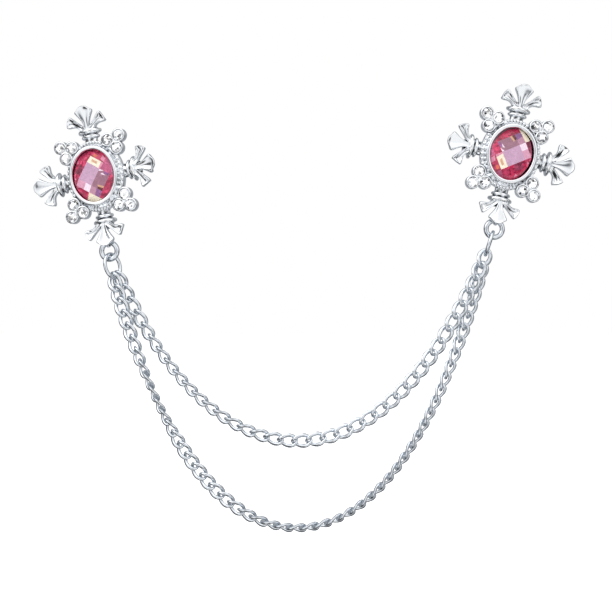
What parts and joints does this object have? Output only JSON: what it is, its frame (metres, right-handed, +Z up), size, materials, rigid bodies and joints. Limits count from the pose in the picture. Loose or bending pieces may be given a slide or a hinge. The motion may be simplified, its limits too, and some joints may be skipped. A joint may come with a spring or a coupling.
{
  "type": "lapel chain with two cross brooches",
  "caption": "Lapel chain of two silver-plated cross brooches, each with an oval pink stone and clear stone clusters, joined by two hanging curb chains.",
  "frame": {"origin": "the middle of the left brooch's back, where it is pinned on", "axes": "+X from the left brooch towards the right one, +Y to the back, +Z up as the chain is worn"},
  "size_m": [0.1349, 0.0153, 0.1114],
  "materials": {
    "plated_metal": "polished silver plate",
    "pink_stone": "faceted glass with a foiled back",
    "clear_stone": "faceted clear crystal with a foiled back",
    "pin_steel": "plain steel"
  },
  "bodies": {
    "root": {"left_setting": "plated_metal", "left_center_stone": "pink_stone", "left_rhinestone_1": "clear_stone", "left_rhinestone_2": "clear_stone", "left_rhinestone_3": "clear_stone", "left_rhinestone_4": "clear_stone", "left_rhinestone_5": "clear_stone", "left_rhinestone_6": "clear_stone", "left_rhinestone_7": "clear_stone", "left_rhinestone_8": "clear_stone", "left_rhinestone_9": "clear_stone", "left_rhinestone_10": "clear_stone", "left_rhinestone_11": "clear_stone", "left_rhinestone_12": "clear_stone", "left_pin_post": "pin_steel", "left_round_ring": "plated_metal", "left_oval_ring": "plated_metal", "right_setting": "plated_metal", "right_center_stone": "pink_stone", "right_rhinestone_1": "clear_stone", "right_rhinestone_2": "clear_stone", "right_rhinestone_3": "clear_stone", "right_rhinestone_4": "clear_stone", "right_rhinestone_5": "clear_stone", "right_rhinestone_6": "clear_stone", "right_rhinestone_7": "clear_stone", "right_rhinestone_8": "clear_stone", "right_rhinestone_9": "clear_stone", "right_rhinestone_10": "clear_stone", "right_rhinestone_11": "clear_stone", "right_rhinestone_12": "clear_stone", "right_pin_post": "pin_steel", "right_round_ring": "plated_metal", "right_oval_ring": "plated_metal", "inner_chain": "plated_metal", "outer_chain": "plated_metal"}
  },
  "joints": []
}
